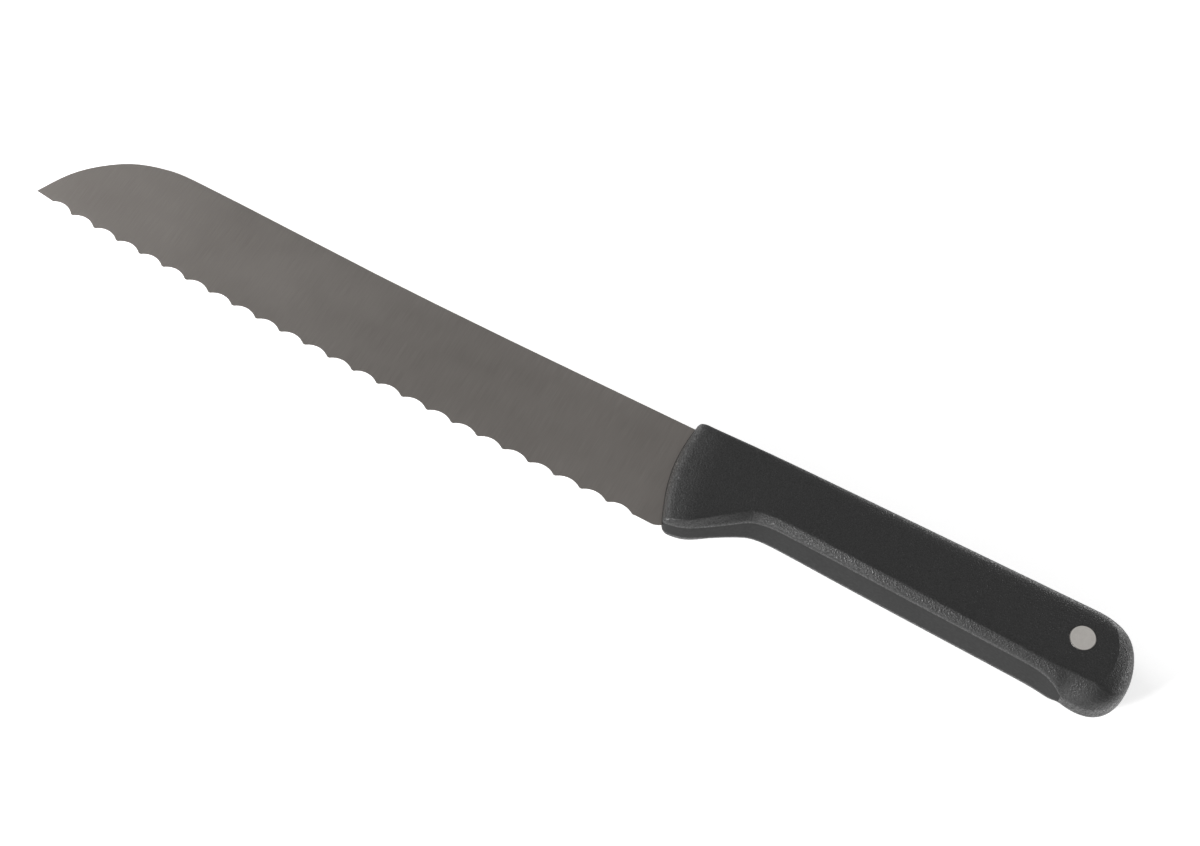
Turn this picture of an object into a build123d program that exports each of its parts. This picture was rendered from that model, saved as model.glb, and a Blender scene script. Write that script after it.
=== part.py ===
from build123d import *
import math
import os

# Bread knife lying on its left-hand cheek, in millimetres. Every shape is drawn in a working frame:
# x runs from the point to the butt, y from the cutting edge to the spine, z across the blade, with
# z = 0 in the blade's mid plane. The finished solids are then moved so that the origin is the middle
# of the box's underside: +X to the butt, +Y to the spine, +Z out of the knife's flat-ground side.

# Blade
BLADE_THICK = 2.0
TIP = (0.0, -13.4)
CREST = (37.0, 10.7)
SPINE_END = (197.5, 10.6)
POINT_FLAT_END = (6.0, -14.05)
FIRST_TOOTH = (13.1, -15.05)
TOOTH_PITCH = 7.8
TOOTH_COUNT = 24
TOOTH_TIP_WIDTH = 0.9
TOOTH_TIP_CROWN = 0.1
TOOTH_LINE_SLOPE = -0.0211
TOOTH_LINE_BOW = 1.4
SCALLOP_DEPTH_POINT = 1.25
SCALLOP_DEPTH_HEEL = 1.05
HEEL_Y = -18.85
HEEL_CORNER = ((198.0, HEEL_Y), (200.0, -18.1), (201.6, -16.3))
GRIND_END = (204.5, -13.1)
GRIND_HEIGHT = 5.5

# Hidden tang
TANG_TOP = 8.0
TANG_BOTTOM = -2.5
TANG_END = 315.0
TANG_CORNER = 3.0
LOCK_HOLES_X = (238.0, 272.0)
LOCK_HOLE_RADIUS = 2.5

# Handle
HANDLE_HALF_THICK = 8.9
NOSE_CORNER = (199.2, 5.9)
TAPER_END_X = 256.0
SPINE_FRONT = (198.0, 11.55)
SPINE_BACK = (311.0, 12.75)
NOSE_TOP_X = 195.7
NOSE_LOW = (197.0, -9.3)
BUTT = (323.0, -1.9)
POMMEL_LOW = (312.5, -11.6)
BELLY_BACK = (302.5, -8.7)
BELLY_FRONT = (225.0, -6.65)
GUARD_SLOPE_TOP = (217.5, -9.4)
GUARD_SLOPE_LOW = (207.0, -16.3)
HEEL_LOW = (203.3, -17.65)
HEEL_FRONT = (201.0, -17.1)
BUTT_ROUND = 4.0
BARREL_LEVELS = 7
BARREL_ANGLE = 68.0

# Bevel between the cheeks and the belly, as heights across the blade where it meets the belly
BELLY_CREASE = (6.0, 6.6)
GUARD_CREASE = (3.3, 4.2)
GUARD_BEVEL_RISE = 2.1
CREASE_RADIUS = 9.0

# Grip strip
STRIP_DEPTH = 2.0
STRIP_FRONT_HALF_WIDTH = 3.2
STRIP_END_X = 310.0

# Two-piece rivet
RIVET_AT = (307.75, 3.1)
RIVET_HEAD_RADIUS = 3.35
RIVET_HEAD_HEIGHT = 2.2
RIVET_HEAD_BEVEL = 0.08
SOCKET_RADIUS = 2.1
POST_RADIUS = 1.5
POST_TIP_GAP = 0.8


def tooth_tip(number):
    """Tip of tooth `number`, on a line that bows down towards the middle of the blade."""
    along = TOOTH_PITCH * number
    share = along / (TOOTH_PITCH * (TOOTH_COUNT - 1))
    drop = TOOTH_LINE_SLOPE * along - 4 * TOOTH_LINE_BOW * share * (1 - share)
    return FIRST_TOOTH[0] + along, FIRST_TOOTH[1] + drop


def scallop(start, end, depth):
    """Hollow arc between two tooth tips, `depth` above their chord."""
    middle = ((start[0] + end[0]) / 2, (start[1] + end[1]) / 2 + depth)
    return ThreePointArc(start, middle, end)


def serrated_line():
    """The cutting edge: flat at the point, scallops with small crowned tips, flat, rounded heel."""
    half_tip = TOOTH_TIP_WIDTH / 2
    pieces = [Line(TIP, POINT_FLAT_END)]
    last = POINT_FLAT_END
    for number in range(TOOTH_COUNT):
        x, y = tooth_tip(number)
        left, right = (x - half_tip, y), (x + half_tip, y)
        share = number / (TOOTH_COUNT - 1)
        depth = SCALLOP_DEPTH_POINT + share * (SCALLOP_DEPTH_HEEL - SCALLOP_DEPTH_POINT)
        pieces.append(scallop(last, left, depth))
        pieces.append(ThreePointArc(left, (x, y - TOOTH_TIP_CROWN), right))
        last = right
    pieces.append(Line(last, HEEL_CORNER[0]))
    pieces.append(ThreePointArc(*HEEL_CORNER))
    pieces.append(Line(HEEL_CORNER[2], GRIND_END))
    return pieces


def prism(face, low, high):
    """A plan face drawn at z = 0, made solid between two heights."""
    return Pos(0, 0, low) * extrude(face, amount=high - low, dir=(0, 0, 1))


def blade_blank():
    """Flat blank with stock below the edge, and the tang that the handle is moulded round."""
    tip_curve = Spline(
        TIP, (5.0, -4.35), (12.0, 2.8), (20.0, 7.65), (28.5, 10.05), CREST,
        tangents=[(0.45, 0.89), (1, 0.0)],
    )
    spine = Spline(CREST, (94.0, 9.85), SPINE_END, tangents=[(1, 0), (1, 0.01)])
    below_edge = TIP[1] - 12
    tang = Polyline(
        SPINE_END,
        (SPINE_END[0] + 2.0, TANG_TOP),
        (TANG_END, TANG_TOP),
        (TANG_END, TANG_BOTTOM - 1.0),
        (216.0, TANG_BOTTOM),
        (205.0, -12.5),
        (203.0, -14.0),
        (203.0, below_edge),
        (TIP[0], below_edge),
        TIP,
    )
    outline = make_face(Wire([*tip_curve.edges(), *spine.edges(), *tang.edges()]))
    half = BLADE_THICK / 2
    blank = prism(outline, -half, half)
    ends = blank.edges().filter_by(Axis.Z).filter_by_position(
        Axis.X, TANG_END - 0.1, TANG_END + 0.1
    )
    return fillet(ends, TANG_CORNER)


def edge_grind():
    """What the wheel takes off: everything under the serrated line, leaning back under the blade."""
    line = serrated_line()
    start, end = TIP, GRIND_END
    low = TIP[1] - 20
    frame = [
        Line(end, (end[0], low)),
        Line((end[0], low), (start[0] - 8, low)),
        Line((start[0] - 8, low), (start[0] - 8, start[1])),
        Line((start[0] - 8, start[1]), start),
    ]
    region = make_face(Wire([e for piece in line + frame for e in piece.edges()]))
    lean = Vector(0, GRIND_HEIGHT, -BLADE_THICK)
    above = Pos(0, -GRIND_HEIGHT / 2, BLADE_THICK)
    return extrude(above * region, amount=lean.length * 2, dir=lean)


def make_blade():
    blade = blade_blank() - edge_grind()
    hole_height = BLADE_THICK + 2
    for x in LOCK_HOLES_X:
        y = (TANG_TOP + TANG_BOTTOM) / 2
        blade -= Pos(x, y, 0) * Cylinder(LOCK_HOLE_RADIUS, hole_height)
    blade -= Pos(*RIVET_AT, 0) * Cylinder(SOCKET_RADIUS, hole_height)
    return blade


def shifted(point, inset, share):
    """A point moved by `share` of an inset."""
    return point[0] + inset[0] * share, point[1] + inset[1] * share


def handle_outline(share):
    """Side outline of the handle; `share` runs from 0 in the mid plane to 1 at the cheeks."""
    spine_dir = (1, (SPINE_BACK[1] - SPINE_FRONT[1]) / (SPINE_BACK[0] - SPINE_FRONT[0]))
    belly_dir = (BELLY_FRONT[0] - BELLY_BACK[0], BELLY_FRONT[1] - BELLY_BACK[1])
    guard_dir = (GUARD_SLOPE_LOW[0] - GUARD_SLOPE_TOP[0], GUARD_SLOPE_LOW[1] - GUARD_SLOPE_TOP[1])
    nose_dir = (-0.45, 0.9)
    rise_dir = (0.02, 1)
    nose_top = (NOSE_TOP_X, 8.6)
    back = shifted(SPINE_BACK, (-2.5, -2.5 * spine_dir[1]), share)
    butt = shifted(BUTT, (-BUTT_ROUND, 1.9), share)
    low = shifted(POMMEL_LOW, (0, 0.8 * BUTT_ROUND), share)
    pieces = [
        Line(SPINE_FRONT, back),
        Spline(back, butt, tangents=[spine_dir, (0, -1)]),
        Spline(butt, low, tangents=[(0, -1), (-1, 0)]),
        Spline(low, BELLY_BACK, tangents=[(-1, 0), belly_dir]),
        Line(BELLY_BACK, BELLY_FRONT),
        Spline(BELLY_FRONT, GUARD_SLOPE_TOP, tangents=[belly_dir, guard_dir]),
        Line(GUARD_SLOPE_TOP, GUARD_SLOPE_LOW),
        Spline(GUARD_SLOPE_LOW, HEEL_LOW, HEEL_FRONT, tangents=[guard_dir, nose_dir]),
        Spline(HEEL_FRONT, NOSE_LOW, (195.4, 1.0), nose_top, tangents=[nose_dir, rise_dir]),
        Spline(nose_top, SPINE_FRONT, tangents=[rise_dir, spine_dir]),
    ]
    return make_face(Wire([edge for piece in pieces for edge in piece.edges()]))


def barrel():
    """The handle before it is tapered: outlines stacked so that the butt end is rounded."""
    full = math.radians(BARREL_ANGLE)
    sections = []
    for level in range(BARREL_LEVELS):
        turn = full * (2 * level / (BARREL_LEVELS - 1) - 1)
        height = HANDLE_HALF_THICK * math.sin(turn) / math.sin(full)
        share = (1 - math.cos(turn)) / (1 - math.cos(full))
        sections.append(Pos(0, 0, height) * handle_outline(share))
    return loft(sections)


def mirrored_plan(half_edges, closing):
    """A plan (x along, y across) drawn on one side, mirrored, closed, and raised along the height."""
    other = [edge.mirror(Plane.XZ) for edge in half_edges]
    plan = make_face(Wire([*half_edges, *other, *closing.edges()]))
    return Pos(0, 40, 0) * extrude(Plane.XZ * plan, amount=80)


def taper_block():
    """Everything between the two cheeks: rounded nose, then widening to the full thickness."""
    half = HANDLE_HALF_THICK
    start = (NOSE_TOP_X - 0.4, 0.8)
    end_x = BUTT[0] + 15
    nose = Spline(start, (NOSE_TOP_X + 0.6, 3.6), NOSE_CORNER, tangents=[(0.15, 1), (1, 0.45)])
    cheek = Spline(
        NOSE_CORNER, (215.0, 7.45), (230.0, 8.3), (TAPER_END_X, half),
        tangents=[(1, 0.16), (1, 0)],
    )
    back = Polyline((TAPER_END_X, half), (end_x, half), (end_x, 0))
    front = Line(start, (start[0], -start[1]))
    return mirrored_plan([*nose.edges(), *cheek.edges(), *back.edges()], front)


def bevel_side(start, end, uphill):
    """A block resting on the plane through a crease and the bevel's own uphill direction."""
    along = (Vector(*end) - Vector(*start)).normalized()
    normal = along.cross(Vector(*uphill)).normalized()
    if normal.Z < 0:
        normal = -normal
    plane = Plane(origin=start, x_dir=along, z_dir=normal)
    return plane * Pos(0, 0, 60) * Box(500, 200, 120)


def belly_bevel():
    """What is planed off between one cheek and the belly, with a soft bend at the guard."""
    belly = bevel_side((*BELLY_FRONT, BELLY_CREASE[0]), (*BELLY_BACK, BELLY_CREASE[1]), (0, 1, 1))
    slope = Vector(*GUARD_SLOPE_TOP) - Vector(*GUARD_SLOPE_LOW)
    inward = Vector(-slope.Y, slope.X).normalized()
    guard = bevel_side(
        (*GUARD_SLOPE_LOW, GUARD_CREASE[0]),
        (*GUARD_SLOPE_TOP, GUARD_CREASE[1]),
        (inward.X, inward.Y, GUARD_BEVEL_RISE),
    )
    wedge = belly & guard
    bend = Vertex(221, -5, 8)
    crease = min(wedge.edges().filter_by(GeomType.LINE), key=lambda edge: edge.distance_to(bend))
    return fillet(crease, CREASE_RADIUS)


def handle_body():
    bevel = belly_bevel()
    return (barrel() & taper_block()) - bevel - mirror(bevel, about=Plane.XY)


def strip_band():
    """Where the grip strip may be: inside the bevels' creases, with a rounded end at the butt."""
    front_x = NOSE_TOP_X - 4
    along = Polyline(
        (front_x, STRIP_FRONT_HALF_WIDTH),
        (GUARD_SLOPE_LOW[0], GUARD_CREASE[0]),
        (GUARD_SLOPE_TOP[0], GUARD_CREASE[1]),
        (BELLY_FRONT[0], BELLY_CREASE[0]),
        (BELLY_BACK[0], BELLY_CREASE[1]),
    )
    end = Spline((BELLY_BACK[0], BELLY_CREASE[1]), (STRIP_END_X, 0), tangents=[(1, 0), (0, -1)])
    front = Line((front_x, STRIP_FRONT_HALF_WIDTH), (front_x, -STRIP_FRONT_HALF_WIDTH))
    return mirrored_plan([*along.edges(), *end.edges()], front)


def inset_line(start, end, depth):
    """The two ends of a line, moved `depth` to its left."""
    along = (Vector(*end) - Vector(*start)).normalized()
    move = Vector(-along.Y, along.X) * depth
    return [Vector(*start) + move, Vector(*end) + move]


def strip_core():
    """Everything deeper than the strip, and the whole spine side of the handle."""
    front_x = NOSE_TOP_X + STRIP_DEPTH
    back_x = BUTT[0] + 15
    nose = inset_line(NOSE_LOW, HEEL_FRONT, STRIP_DEPTH)
    guard = inset_line(GUARD_SLOPE_LOW, GUARD_SLOPE_TOP, STRIP_DEPTH)
    belly = inset_line(BELLY_FRONT, BELLY_BACK, STRIP_DEPTH)
    above = [(back_x, belly[1].Y), (back_x, 20), (front_x, 20), (front_x, -2)]
    profile = make_face(Polyline(*nose, *guard, *belly, *above, close=True))
    return prism(profile, -HANDLE_HALF_THICK, HANDLE_HALF_THICK)


def rivet_head():
    """Flush head whose outer face is at z = 0, with a small bevel round the rim."""
    head = Pos(0, 0, -RIVET_HEAD_HEIGHT / 2) * Cylinder(RIVET_HEAD_RADIUS, RIVET_HEAD_HEIGHT)
    return chamfer(head.edges().group_by(Axis.Z)[-1], RIVET_HEAD_BEVEL)


def make_rivets():
    """Two-piece rivet: a headed socket from one cheek and a headed post pressed in from the other."""
    seat = HANDLE_HALF_THICK - RIVET_HEAD_HEIGHT
    head = Pos(0, 0, HANDLE_HALF_THICK) * rivet_head()
    socket = head + Cylinder(SOCKET_RADIUS, 2 * seat) - Cylinder(POST_RADIUS, 2 * seat)
    reach = 2 * seat - POST_TIP_GAP
    post = Pos(0, 0, -seat + reach / 2) * Cylinder(POST_RADIUS, reach)
    post = post + mirror(head, about=Plane.XY)
    return Pos(*RIVET_AT, 0) * socket, Pos(*RIVET_AT, 0) * post


def rivet_hole():
    """The stepped hole that the rivet fills."""
    seat = HANDLE_HALF_THICK - RIVET_HEAD_HEIGHT
    hole = Cylinder(SOCKET_RADIUS, 2 * HANDLE_HALF_THICK)
    for side in (1, -1):
        height = side * (seat + RIVET_HEAD_HEIGHT)
        hole += Pos(0, 0, height) * Cylinder(RIVET_HEAD_RADIUS, 2 * RIVET_HEAD_HEIGHT)
    return Pos(*RIVET_AT, 0) * hole


def make_knife():
    """All the parts in the working frame."""
    blade = make_blade()
    body = handle_body()
    strip = (body & strip_band()) - strip_core() - blade
    shell = body - strip - blade - rivet_hole()
    socket, post = make_rivets()
    return {
        "blade": blade,
        "handle_shell": shell,
        "grip_strip": strip,
        "rivet_socket": socket,
        "rivet_post": post,
    }


def export_all(parts):
    """Move the knife so the origin is the middle of its underside, and write one file per part."""
    boxes = [part.bounding_box() for part in parts.values()]
    low = [min(box.min.X for box in boxes), min(box.min.Y for box in boxes)]
    high = [max(box.max.X for box in boxes), max(box.max.Y for box in boxes)]
    to_origin = Pos(-(low[0] + high[0]) / 2, -(low[1] + high[1]) / 2, HANDLE_HALF_THICK)
    os.makedirs("parts", exist_ok=True)
    for name, part in parts.items():
        export_step(to_origin * part, f"parts/{name}.step")


if __name__ == "__main__":
    export_all(make_knife())
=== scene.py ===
import math
from collections import namedtuple

import bmesh
import bpy
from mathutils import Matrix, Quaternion, Vector


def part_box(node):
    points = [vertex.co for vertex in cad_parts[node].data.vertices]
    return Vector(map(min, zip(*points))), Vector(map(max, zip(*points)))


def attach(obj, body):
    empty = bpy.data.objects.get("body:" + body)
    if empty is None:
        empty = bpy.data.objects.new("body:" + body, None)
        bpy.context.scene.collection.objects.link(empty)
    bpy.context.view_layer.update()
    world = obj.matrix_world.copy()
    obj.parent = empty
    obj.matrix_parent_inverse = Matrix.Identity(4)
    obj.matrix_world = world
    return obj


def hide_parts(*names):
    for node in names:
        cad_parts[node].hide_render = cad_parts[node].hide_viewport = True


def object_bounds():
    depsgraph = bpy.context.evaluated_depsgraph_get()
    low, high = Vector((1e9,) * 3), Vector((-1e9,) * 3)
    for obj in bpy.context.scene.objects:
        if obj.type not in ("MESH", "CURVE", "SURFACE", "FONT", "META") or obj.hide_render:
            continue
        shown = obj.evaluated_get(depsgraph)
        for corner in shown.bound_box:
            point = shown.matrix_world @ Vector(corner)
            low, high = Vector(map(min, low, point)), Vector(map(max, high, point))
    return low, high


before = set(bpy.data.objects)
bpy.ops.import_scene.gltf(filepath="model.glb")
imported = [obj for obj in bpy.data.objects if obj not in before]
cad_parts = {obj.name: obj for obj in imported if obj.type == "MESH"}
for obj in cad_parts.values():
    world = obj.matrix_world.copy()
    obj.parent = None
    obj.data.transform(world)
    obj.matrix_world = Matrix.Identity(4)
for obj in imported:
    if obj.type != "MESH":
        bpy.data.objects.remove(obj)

# A bread knife lying on one cheek of its handle. The row frame has +X to the butt, +Y to the spine
# and +Z up, out of the blade's unground side. Everything is in metres.

MM = 0.001
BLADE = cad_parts["blade"]
RIVETS = [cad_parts["rivet_socket"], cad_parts["rivet_post"]]
CAD_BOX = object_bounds()

# Camera: looks down at the knife from in front and to the right of its middle.
VIEW_AZIMUTH = math.radians(29.8)
VIEW_ELEVATION = math.radians(63.6)
VIEW_ROLL = math.radians(-0.57)
VIEW_DISTANCE = 0.6049
VIEW_AIM_OFFSET = Vector((10.3, 3.6, 0.0)) * MM
LENS = 68.67

# The handle is drawn in the knife's own millimetres: x from the blade's point, y from a line along
# the blade and z from its middle. The spine and belly outlines run from the nose to the butt.
POINT_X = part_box("blade")[0][0]
BLADE_LINE_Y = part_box("blade")[1][1] - 10.7 * MM
MIDDLE_Z = (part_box("blade")[0][2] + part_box("blade")[1][2]) / 2
HALF_THICK = 8.86
TAPER_START, TAPER_END, TAPER = 196.0, 256.0, 3.2
SPINE_START, SPINE_RISE = (205.0, 11.6), 0.011
GUARD_END, GUARD_LEAN, GUARD_BOW = 217.0, 0.35, 0.12
POMMEL_START, POMMEL_SWELL = 302.0, 0.09
# x, y of the belly, half width of its flat, height of the bevel above it
BELLY = (
    (206.6, -16.65, 3.7, 0.8),
    (210.6, -14.1, 3.8, 1.3),
    (214.5, -11.5, 4.2, 2.0),
    (217.6, -9.45, 4.8, 2.2),
    (220.4, -7.65, 5.6, 2.3),
    (224.0, -6.85, 6.3, 2.3),
    (229.0, -6.7, 6.6, 2.3),
    (240.0, -7.05, 6.8, 2.3),
    (256.0, -7.5, 7.0, 2.3),
    (278.0, -8.05, 7.0, 2.3),
    (296.0, -8.5, 7.0, 2.3),
    (302.0, -8.75, 6.9, 2.4),
    (305.0, -9.45, 6.2, 3.1),
    (307.4, -10.25, 4.8, 3.9),
    (309.0, -10.75, 2.0, 4.4),
)
# Rounding of the spine's edges, from the guard to the butt, and of the bevel's edges
EDGE_ROUND, EDGE_GROWTH, EDGE_GROWS_FROM, EDGE_GROWS_OVER = 0.8, 0.8, 215.0, 30.0
CREASE_ROUND = 0.3
CHEEK_POINTS = 5
FULL_ROUND_HALF = 6.0
SHARP_ANGLE = math.radians(35)
SKIN = 1.6
SMOOTHING = 3
RIVET_GAP = 0.06
CUTTER_LENGTH = 40.0

# One cage ring: spine and belly points, half widths of the cheeks and of the belly's flat, height and
# outward swell of the bevel, and how far the middle of the ring is moved along the handle.
Section = namedtuple("Section", "top low half flat bevel swell bow")
NOSE = (
    Section((195.0, 11.3), (199.8, -17.0), 1.15, 0.9, 0.25, 0.0, -2.5),
    Section((195.5, 12.0), (200.1, -17.5), 3.2, 2.6, 0.5, 0.1, -2.5),
    Section((197.2, 12.15), (201.2, -17.8), 5.1, 3.4, 0.6, 0.2, -2.4),
    Section((199.8, 11.85), (203.5, -17.5), 5.8, 3.6, 0.7, 0.1, -1.8),
)
BUTT = (
    Section((311.8, 12.5), (311.8, -11.4), HALF_THICK, 2.6, 5.2, 0.6, 6.0),
    Section((316.8, 11.5), (316.9, -11.3), 7.6, 2.6, 4.6, 1.0, 4.2),
    Section((320.2, 8.3), (320.9, -8.4), 6.0, 2.8, 3.2, 0.8, 2.1),
    Section((321.6, 4.9), (322.5, -5.3), 3.2, 1.5, 2.0, 0.4, 1.1),
)

# Pitch of the turned rings on a rivet head, and where the painted shade on its rim, which stands for
# the shaded gap around the head, starts and is full
RING_PITCH = 0.55
RIM_SHADE_START, RIM_SHADE_FULL = 0.22, 0.12

# Studio
WORLD_LIGHT = 0.29
FLOOR_SIZE = 6.0
FLOOR_WHITE = 0.92
FLOOR_GLOW = 0.5
FLOOR_GAP = 0.05
# name, direction, distance, size, power
LAMPS = (
    ("front", (-0.52, -0.79, 0.35), 1.6, 0.5, 38),
    ("left", (-0.95, 0.15, 0.48), 1.6, 0.9, 10),
    ("back", (0.30, 0.94, 0.16), 1.8, 0.7, 20),
    ("side", (0.88, 0.45, 0.12), 1.8, 0.6, 12),
)


def make(tree, kind, inputs=None, out=0, **settings):
    """A shader node with its settings and inputs; sockets are linked, values are set."""
    node = tree.nodes.new("ShaderNode" + kind)
    for key, value in settings.items():
        setattr(node, key, value)
    for key, value in (inputs or {}).items():
        if isinstance(value, bpy.types.NodeSocket):
            tree.links.new(value, node.inputs[key])
        else:
            node.inputs[key].default_value = value
    return node.outputs[out]


def new_material(name, colour, metallic, specular=0.5):
    """A Principled material; returns it with its tree and shader."""
    material = bpy.data.materials.new(name)
    material.use_nodes = True
    tree = material.node_tree
    shader = tree.nodes["Principled BSDF"]
    shader.inputs["Base Color"].default_value = (*colour, 1)
    shader.inputs["Metallic"].default_value = metallic
    shader.inputs["Specular IOR Level"].default_value = specular
    return material, tree, shader


def place(tree, scale=(1, 1, 1), location=(0, 0, 0)):
    """Row-frame coordinates in millimetres, moved and stretched."""
    coords = make(tree, "TexCoord", out=3)
    scale_mm = [value / MM for value in scale]
    return make(tree, "Mapping", {"Vector": coords, "Scale": scale_mm, "Location": location})


def noise(tree, vector, scale, detail=2.0, roughness=0.5):
    inputs = {"Vector": vector, "Scale": scale, "Detail": detail, "Roughness": roughness}
    return make(tree, "TexNoise", inputs)


def spread(tree, value, low, high, start=0.0, end=1.0):
    """A value between `start` and `end` mapped onto `low` to `high`."""
    inputs = {"Value": value, "From Min": start, "From Max": end, "To Min": low, "To Max": high}
    return make(tree, "MapRange", inputs)


def tint(tree, fac, low, high):
    """A colour between two."""
    inputs = {0: fac, 6: (*low, 1), 7: (*high, 1)}
    return make(tree, "Mix", inputs, out=2, data_type="RGBA")


def bump(tree, height, depth, strength=1.0):
    inputs = {"Height": height, "Distance": depth * MM, "Strength": strength}
    return make(tree, "Bump", inputs)


def steel():
    """Satin blade steel, finely ground across its length."""
    material, tree, shader = new_material("blade_steel", (0.42, 0.41, 0.40), 1.0)
    streaks = noise(tree, place(tree, (6.0, 0.12, 1.0)), 1.0, 3.0, 0.6)
    clouds = noise(tree, place(tree, (0.03, 0.05, 0.05)), 1.0, 2.0)
    both = make(tree, "Math", {0: streaks, 1: clouds}, operation="ADD")
    colour = tint(tree, spread(tree, both, 0, 1, 0.7, 1.3), (0.33, 0.305, 0.285), (0.40, 0.372, 0.35))
    tree.links.new(colour, shader.inputs["Base Color"])
    tree.links.new(spread(tree, streaks, 0.30, 0.42), shader.inputs["Roughness"])
    tree.links.new(bump(tree, streaks, 0.004), shader.inputs["Normal"])
    return material


def plastic(name, colour, contrast, grain, depth, rough, glint, ior=1.5):
    """Black moulding with a spark-eroded grain; `grain` is its size in millimetres."""
    material, tree, shader = new_material(name, colour, 0.0)
    shader.inputs["IOR"].default_value = ior
    fine = noise(tree, place(tree), 1 / grain, 2.0, 0.6)
    peaks = spread(tree, fine, 0, 1, 0.4, 0.66)
    broad = noise(tree, place(tree), 0.08, 2.0)
    dark = [(1 - contrast) * value for value in colour]
    light = [(1 + 2 * contrast) * value for value in colour]
    tree.links.new(tint(tree, peaks, dark, light), shader.inputs["Base Color"])
    worn = spread(tree, broad, -0.03, 0.03)
    mixed = spread(tree, peaks, rough + glint, rough - glint)
    final = make(tree, "Math", {0: worn, 1: mixed}, operation="ADD")
    tree.links.new(final, shader.inputs["Roughness"])
    tree.links.new(bump(tree, fine, depth), shader.inputs["Normal"])
    return material


def rivet_metal():
    """Satin rivet metal with the faint rings left by turning, and painted shade darkening the rim of
    each head.
    """
    material, tree, shader = new_material("rivet_metal", (0.80, 0.77, 0.73), 1.0)
    low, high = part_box("rivet_socket")
    centre = [-(low[axis] + high[axis]) / 2 / MM for axis in (0, 1)]
    flat = place(tree, (1, 1, 0), (*centre, 0))
    radius = make(tree, "VectorMath", {0: flat}, out=1, operation="LENGTH")
    turns = make(tree, "Math", {0: radius, 1: 2 * math.pi / RING_PITCH}, operation="MULTIPLY")
    rings = make(tree, "Math", {0: turns}, operation="SINE")
    clouds = noise(tree, place(tree), 0.9, 3.0)
    body = tint(tree, clouds, (0.72, 0.69, 0.65), (0.86, 0.83, 0.79))
    rim = (high[0] - low[0]) / 2 / MM
    # Painted shade: the head's colour darkens towards its rim to stand for the shaded gap around it and
    # to hold down the highlight on its edge
    edge = spread(tree, radius, 0, 1, rim - RIM_SHADE_START, rim - RIM_SHADE_FULL)
    shade = make(tree, "Mix", {0: edge, 6: body, 7: (0.14, 0.135, 0.13, 1)}, out=2, data_type="RGBA")
    tree.links.new(shade, shader.inputs["Base Color"])
    tree.links.new(spread(tree, rings, 0.42, 0.5, -1, 1), shader.inputs["Roughness"])
    tree.links.new(bump(tree, rings, 0.006), shader.inputs["Normal"])
    return material


def dress(piece, material):
    piece.data.materials.clear()
    piece.data.materials.append(material)


def half_thickness(x):
    """The cheeks spread from the nose to the full thickness."""
    return HALF_THICK - TAPER * (max(TAPER_END - x, 0) / (TAPER_END - TAPER_START)) ** 2


def grip_section(x, y, flat, bevel):
    """An upright section of the handle over one point of the belly, leaning a little at the guard."""
    lean = GUARD_LEAN * max(GUARD_END - x, 0)
    top = (x - lean, SPINE_START[1] + SPINE_RISE * (x - SPINE_START[0]))
    swell = POMMEL_SWELL * max(x - POMMEL_START, 0)
    bow = -GUARD_BOW * max(GUARD_END - x, 0)
    return Section(top, (x, y), half_thickness(x), flat, bevel, swell, bow)


def ring(section):
    """The section's closed ring of cage points, spine first, in the knife's own millimetres."""
    (top_x, top_y), (low_x, low_y) = section.top, section.low
    share = min(1.0, section.half / FULL_ROUND_HALF)
    grown = min(max((top_x - EDGE_GROWS_FROM) / EDGE_GROWS_OVER, 0), 1)
    edge, crease = (EDGE_ROUND + EDGE_GROWTH * grown) * share, CREASE_ROUND * share
    brow = Vector((section.half, low_y + section.bevel))
    foot = Vector((section.flat, low_y))
    along = (foot - brow).normalized()
    out = Vector((-along.y, along.x))
    cheek_top, cheek_low = top_y - edge, brow.y + crease
    side = [Vector((0, top_y)), Vector((section.half - edge, top_y))]
    for step in range(CHEEK_POINTS):
        down = step / (CHEEK_POINTS - 1)
        side.append(Vector((section.half, cheek_top + (cheek_low - cheek_top) * down)))
    side.append(brow + along * crease)
    side.append((brow + foot) / 2 + out * section.swell)
    side.append(foot - along * crease)
    side.append(Vector((section.flat - crease, low_y)))
    side.append(Vector((0, low_y)))
    points = []
    for z, y in side:
        down = (top_y - y) / (top_y - low_y)
        x = top_x + (low_x - top_x) * down + section.bow * 4 * down * (1 - down)
        points.append((x, y, z))
    other = [(x, y, -z) for x, y, z in reversed(points[1:-1])]
    return points + other


def close_end(mesh, verts, part):
    """A wall across the open end of a ring of points, from one side to the other."""
    count = len(verts)
    walls = [(verts[0], verts[1], verts[count - 1])]
    for j in range(1, count // 2):
        walls.append((verts[j], verts[j + 1], verts[count - j - 1], verts[count - j]))
    for wall in walls:
        mesh.faces.new(dict.fromkeys(wall)).material_index = part


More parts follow.
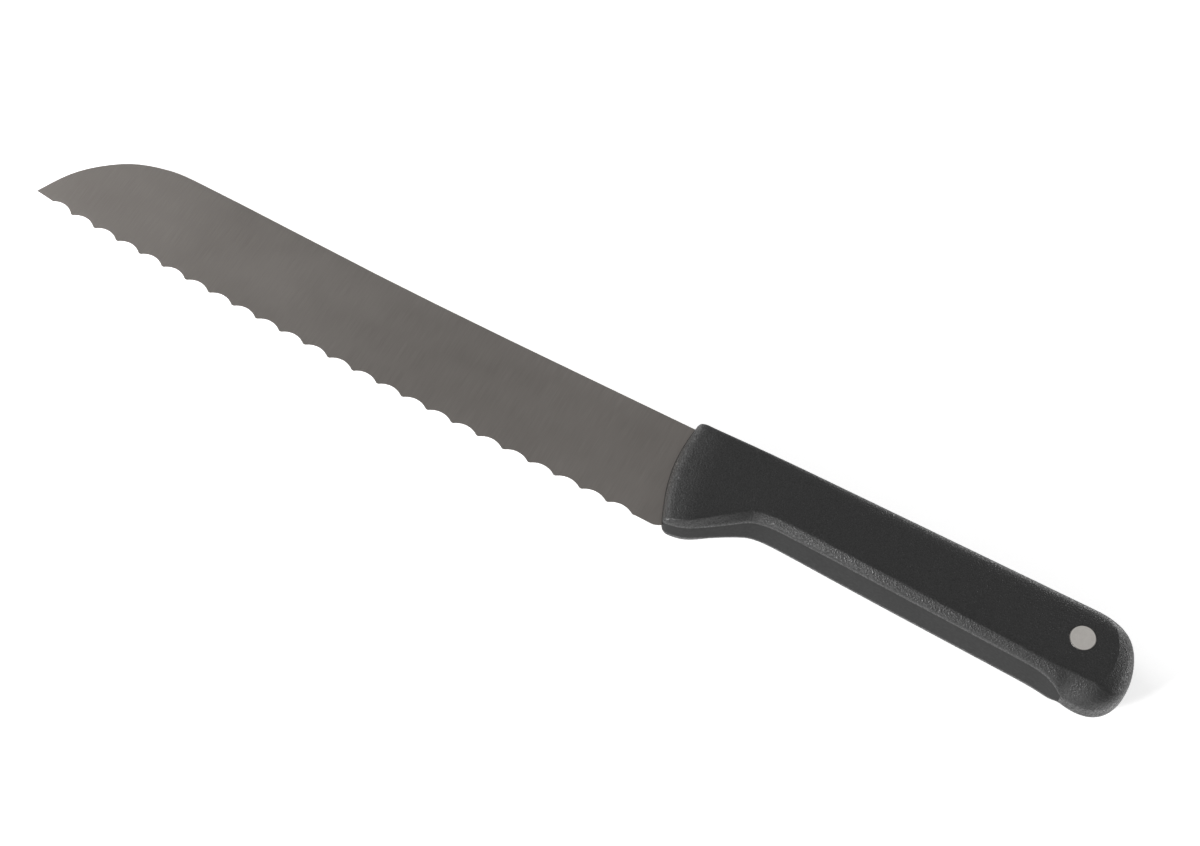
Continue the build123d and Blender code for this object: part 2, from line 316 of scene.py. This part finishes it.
def cage():
    """The whole handle as a coarse cage; faces of the grip strip carry material 1."""
    grip = [grip_section(*row) for row in BELLY]
    rings = [ring(section) for section in (*NOSE, *grip, *BUTT)]
    count, low = len(rings[0]), len(rings[0]) // 2
    mesh = bmesh.new()
    grid = [[mesh.verts.new(to_row(point)) for point in points] for points in rings]
    strip_end = len(NOSE) + len(BELLY) - 1
    for row in range(len(grid) - 1):
        for j in range(count):
            k = (j + 1) % count
            face = mesh.faces.new((grid[row][j], grid[row][k], grid[row + 1][k], grid[row + 1][j]))
            on_belly = j in (low - 1, low) and row < strip_end
            face.material_index = 1 if on_belly or row == 0 else 0
    close_end(mesh, grid[-1], 0)
    close_end(mesh, grid[0], 1)
    crease = mesh.edges.layers.float.new("crease_edge")
    for j in range(count):
        mesh.edges.get((grid[0][j], grid[0][(j + 1) % count]))[crease] = 1.0
    brim = grid[-len(BUTT)]
    cheek_end = 2 + CHEEK_POINTS
    for j in (*range(2, cheek_end), *range(count - cheek_end, count - 2)):
        edge = mesh.edges.get((brim[j], brim[j + 1]))
        edge[crease] = 1.0
        edge.smooth = False
    bmesh.ops.recalc_face_normals(mesh, faces=mesh.faces)
    return mesh


def to_row(point):
    x, y, z = point
    return Vector((POINT_X + x * MM, BLADE_LINE_Y + y * MM, MIDDLE_Z + z * MM))


def new_object(name, mesh):
    item = bpy.data.objects.new(name, mesh)
    bpy.context.scene.collection.objects.link(item)
    return item


def settled(item):
    """The object's mesh with its modifiers applied; the object itself is deleted."""
    bpy.context.view_layer.update()
    mesh = bpy.data.meshes.new_from_object(item.evaluated_get(bpy.context.evaluated_depsgraph_get()))
    bpy.data.objects.remove(item)
    return mesh


def skin(name, surface, part):
    """One part of the smoothed handle surface, given thickness so that it is a closed solid."""
    mesh = bmesh.new()
    mesh.from_mesh(surface)
    others = [face for face in mesh.faces if face.material_index != part]
    bmesh.ops.delete(mesh, geom=others, context="FACES")
    data = bpy.data.meshes.new(name)
    mesh.to_mesh(data)
    mesh.free()
    item = new_object(name, data)
    wall = item.modifiers.new("wall", "SOLIDIFY")
    wall.thickness = SKIN * MM
    wall.offset = -1
    return item


def rivet_cutter():
    """A round bar through both cheeks, a little wider than the rivet's heads."""
    low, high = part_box("rivet_socket")
    middle = (Vector(low) + Vector(high)) / 2
    mesh = bmesh.new()
    radius = (high[0] - low[0]) / 2 + RIVET_GAP * MM
    size = {"radius1": radius, "radius2": radius, "depth": CUTTER_LENGTH * MM}
    bmesh.ops.create_cone(mesh, cap_ends=True, segments=64, **size)
    bmesh.ops.translate(mesh, verts=mesh.verts, vec=(middle.x, middle.y, MIDDLE_Z))
    data = bpy.data.meshes.new("rivet_cutter")
    mesh.to_mesh(data)
    mesh.free()
    return new_object("rivet_cutter", data)


def handle():
    """The moulded handle: a textured shell and the smooth strip that runs along its belly."""
    coarse = bpy.data.meshes.new("cage")
    bare = cage()
    bare.to_mesh(coarse)
    bare.free()
    body = new_object("cage", coarse)
    smooth = body.modifiers.new("smooth", "SUBSURF")
    smooth.levels = smooth.render_levels = SMOOTHING
    surface = settled(body)
    shell = skin("shell_skin", surface, 0)
    strip = skin("strip_skin", surface, 1)
    cutter = rivet_cutter()
    hole = shell.modifiers.new("rivet hole", "BOOLEAN")
    hole.operation = "DIFFERENCE"
    hole.object = cutter
    pieces = []
    for name, item in (("handle_shell_skin", shell), ("grip_strip_skin", strip)):
        data = settled(item)
        data.name = name
        data.materials.clear()
        data.polygons.foreach_set("material_index", [0] * len(data.polygons))
        data.polygons.foreach_set("use_smooth", [True] * len(data.polygons))
        marked = [edge.use_edge_sharp for edge in data.edges]
        data.set_sharp_from_angle(angle=SHARP_ANGLE)
        for edge, mark in zip(data.edges, marked):
            edge.use_edge_sharp |= mark
        pieces.append(new_object(name, data))
    bpy.data.objects.remove(cutter)
    return pieces


def soft_box(name, direction, distance, size, power):
    """A square area light that faces the knife."""
    light = bpy.data.lights.new(name, "AREA")
    light.shape = "SQUARE"
    light.size = size
    light.energy = power
    lamp = bpy.data.objects.new(name, light)
    lamp.location = Vector(direction).normalized() * distance
    lamp.rotation_euler = (-lamp.location).to_track_quat("-Z", "Y").to_euler()
    bpy.context.scene.collection.objects.link(lamp)


def studio():
    scene = bpy.context.scene
    scene.view_settings.view_transform = "Standard"
    world = bpy.data.worlds.new("studio")
    world.use_nodes = True
    world.node_tree.nodes["Background"].inputs["Color"].default_value = (1, 1, 1, 1)
    world.node_tree.nodes["Background"].inputs["Strength"].default_value = WORLD_LIGHT
    scene.world = world
    bpy.ops.mesh.primitive_plane_add(size=FLOOR_SIZE, location=(0, 0, CAD_BOX[0][2] - FLOOR_GAP * MM))
    floor = bpy.context.object
    floor.name = "floor"
    white, _, shader = new_material("floor_white", (FLOOR_WHITE,) * 3, 0.0, 0.2)
    shader.inputs["Roughness"].default_value = 0.9
    shader.inputs["Emission Color"].default_value = (1, 1, 1, 1)
    shader.inputs["Emission Strength"].default_value = FLOOR_GLOW
    floor.data.materials.append(white)
    for lamp in LAMPS:
        soft_box(*lamp)


def camera():
    scene = bpy.context.scene
    lens = bpy.data.cameras.new("camera")
    lens.lens = LENS
    lens.clip_start = 0.01
    eye = bpy.data.objects.new("camera", lens)
    low, high = CAD_BOX
    middle = (Vector(low) + Vector(high)) / 2
    aim = middle + VIEW_AIM_OFFSET
    flat = math.cos(VIEW_ELEVATION)
    away = Vector((
        math.sin(VIEW_AZIMUTH) * flat,
        -math.cos(VIEW_AZIMUTH) * flat,
        math.sin(VIEW_ELEVATION),
    ))
    eye.location = aim + away * VIEW_DISTANCE
    turn = (-away).to_track_quat("-Z", "Y") @ Quaternion((0, 0, 1), VIEW_ROLL)
    eye.rotation_euler = turn.to_euler()
    scene.collection.objects.link(eye)
    scene.camera = eye


dress(BLADE, steel())
shell_skin, strip_skin = handle()
for piece, node, slot in (
    (shell_skin, "handle_shell", "handle_textured"),
    (strip_skin, "grip_strip", "handle_smooth"),
):
    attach(piece, "root")
    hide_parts(node)
dress(shell_skin, plastic("handle_textured", (0.011, 0.011, 0.011), 0.65, 0.44, 0.15, 0.40, 0.18))
dress(strip_skin, plastic("handle_smooth", (0.0065, 0.0065, 0.0065), 0.06, 0.9, 0.01, 0.48, 0.02, 1.24))
for rivet in RIVETS:
    dress(rivet, rivet_metal())
studio()
camera()
